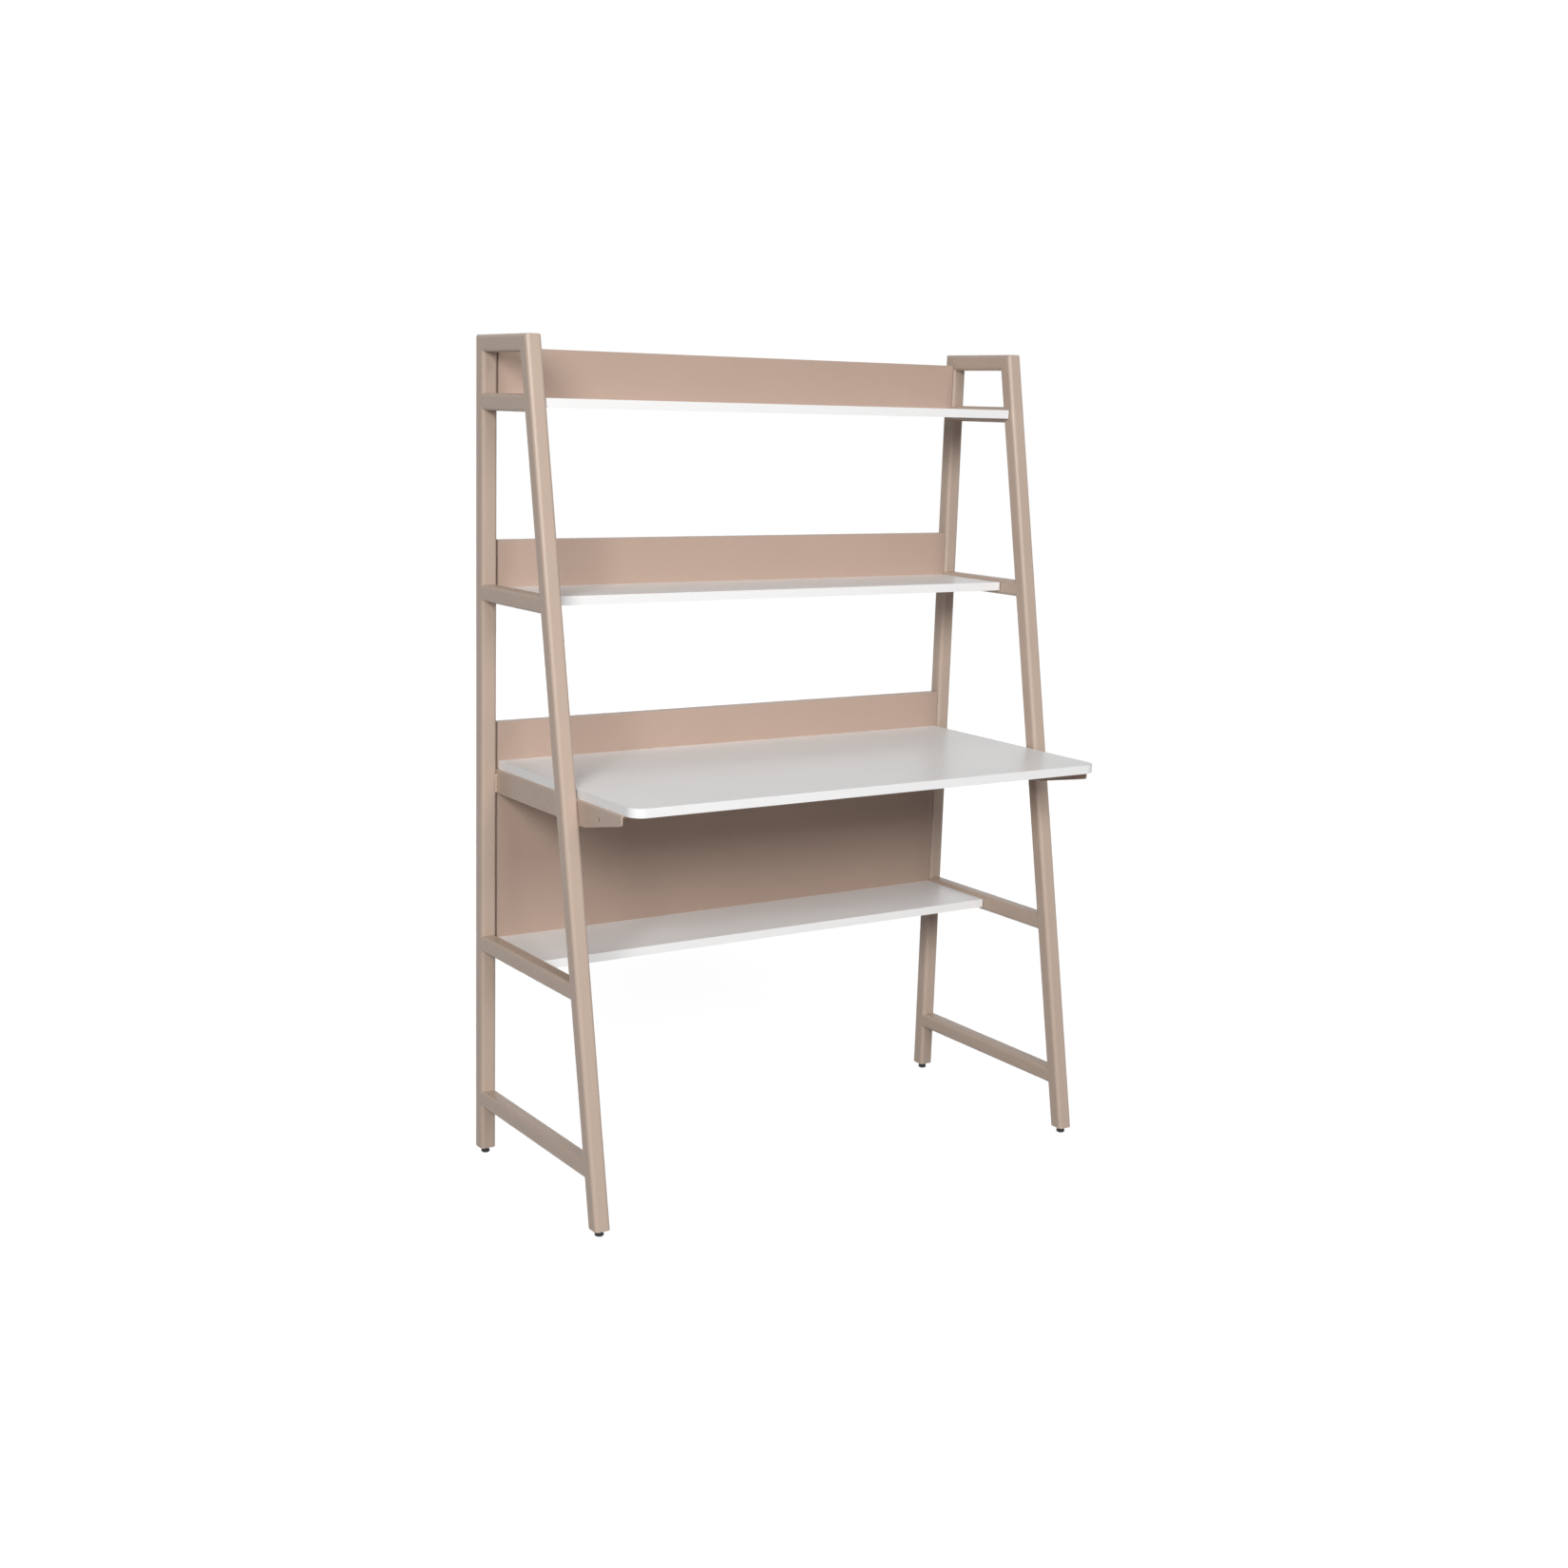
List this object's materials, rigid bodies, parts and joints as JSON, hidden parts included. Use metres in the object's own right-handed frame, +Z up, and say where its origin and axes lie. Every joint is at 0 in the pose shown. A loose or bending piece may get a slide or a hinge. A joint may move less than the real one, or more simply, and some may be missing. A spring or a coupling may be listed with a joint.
{
  "type": "ladder desk",
  "caption": "Ladder desk: welded side frames with leaning front legs carry a desktop, shelves and back panels, on screw-in levelling glides.",
  "frame": {"origin": "on the floor, in the middle of the overall width and depth", "axes": "+Z up, +Y from the sitter towards the back panels, +X to the right as the desk is seen from its front"},
  "size_m": [1.07, 0.52, 1.5],
  "materials": {
    "frame_paint": "satin powder coat, warm grey-beige",
    "white_board": "satin white melamine on chipboard",
    "white_edging": "satin white edge band",
    "panel_board": "satin beige melamine on chipboard",
    "panel_edging": "satin beige edge band",
    "zinc_steel": "bright zinc plate",
    "black_plastic": "moulded, matt"
  },
  "bodies": {
    "frame": {"desktop": "white_board", "desktop_edge_band": "white_edging", "desktop_screws": "zinc_steel", "left_desk_rail": "frame_paint", "left_desk_rail_welds": "frame_paint", "left_foot_rung": "frame_paint", "left_front_end_plate": "frame_paint", "left_front_leg": "frame_paint", "left_front_weld_nut": "zinc_steel", "left_lower_shelf_rung": "frame_paint", "left_middle_shelf_rung": "frame_paint", "left_panel_tabs": "frame_paint", "left_rear_end_plate": "frame_paint", "left_rear_post": "frame_paint", "left_rear_weld_nut": "zinc_steel", "left_shelf_tabs": "frame_paint", "left_top_rail": "frame_paint", "left_top_shelf_rung": "frame_paint", "lower_shelf": "white_board", "lower_shelf_edge_band": "white_edging", "main_back_panel": "panel_board", "main_back_panel_edge_band": "panel_edging", "middle_back_panel": "panel_board", "middle_back_panel_edge_band": "panel_edging", "middle_shelf": "white_board", "middle_shelf_edge_band": "white_edging", "panel_connectors": "zinc_steel", "panel_screws": "zinc_steel", "right_desk_rail": "frame_paint", "right_desk_rail_welds": "frame_paint", "right_foot_rung": "frame_paint", "right_front_end_plate": "frame_paint", "right_front_leg": "frame_paint", "right_front_weld_nut": "zinc_steel", "right_lower_shelf_rung": "frame_paint", "right_middle_shelf_rung": "frame_paint", "right_panel_tabs": "frame_paint", "right_rear_end_plate": "frame_paint", "right_rear_post": "frame_paint", "right_rear_weld_nut": "zinc_steel", "right_shelf_tabs": "frame_paint", "right_top_rail": "frame_paint", "right_top_shelf_rung": "frame_paint", "shelf_screws": "zinc_steel", "top_back_panel": "panel_board", "top_back_panel_edge_band": "panel_edging", "top_shelf": "white_board", "top_shelf_edge_band": "white_edging"},
    "left_front_glide": {"left_front_glide_pad": "black_plastic", "left_front_glide_stud": "zinc_steel"},
    "left_rear_glide": {"left_rear_glide_pad": "black_plastic", "left_rear_glide_stud": "zinc_steel"},
    "right_front_glide": {"right_front_glide_pad": "black_plastic", "right_front_glide_stud": "zinc_steel"},
    "right_rear_glide": {"right_rear_glide_pad": "black_plastic", "right_rear_glide_stud": "zinc_steel"}
  },
  "joints": [
    {"name": "left_front_glide_screw", "type": "slide", "parent": "frame", "child": "left_front_glide", "axis": [0, 0, -1], "range_m": [-0.0035, 0.015]},
    {"name": "left_rear_glide_screw", "type": "slide", "parent": "frame", "child": "left_rear_glide", "axis": [0, 0, -1], "range_m": [-0.0035, 0.015]},
    {"name": "right_front_glide_screw", "type": "slide", "parent": "frame", "child": "right_front_glide", "axis": [0, 0, -1], "range_m": [-0.0035, 0.015]},
    {"name": "right_rear_glide_screw", "type": "slide", "parent": "frame", "child": "right_rear_glide", "axis": [0, 0, -1], "range_m": [-0.0035, 0.015]}
  ]
}
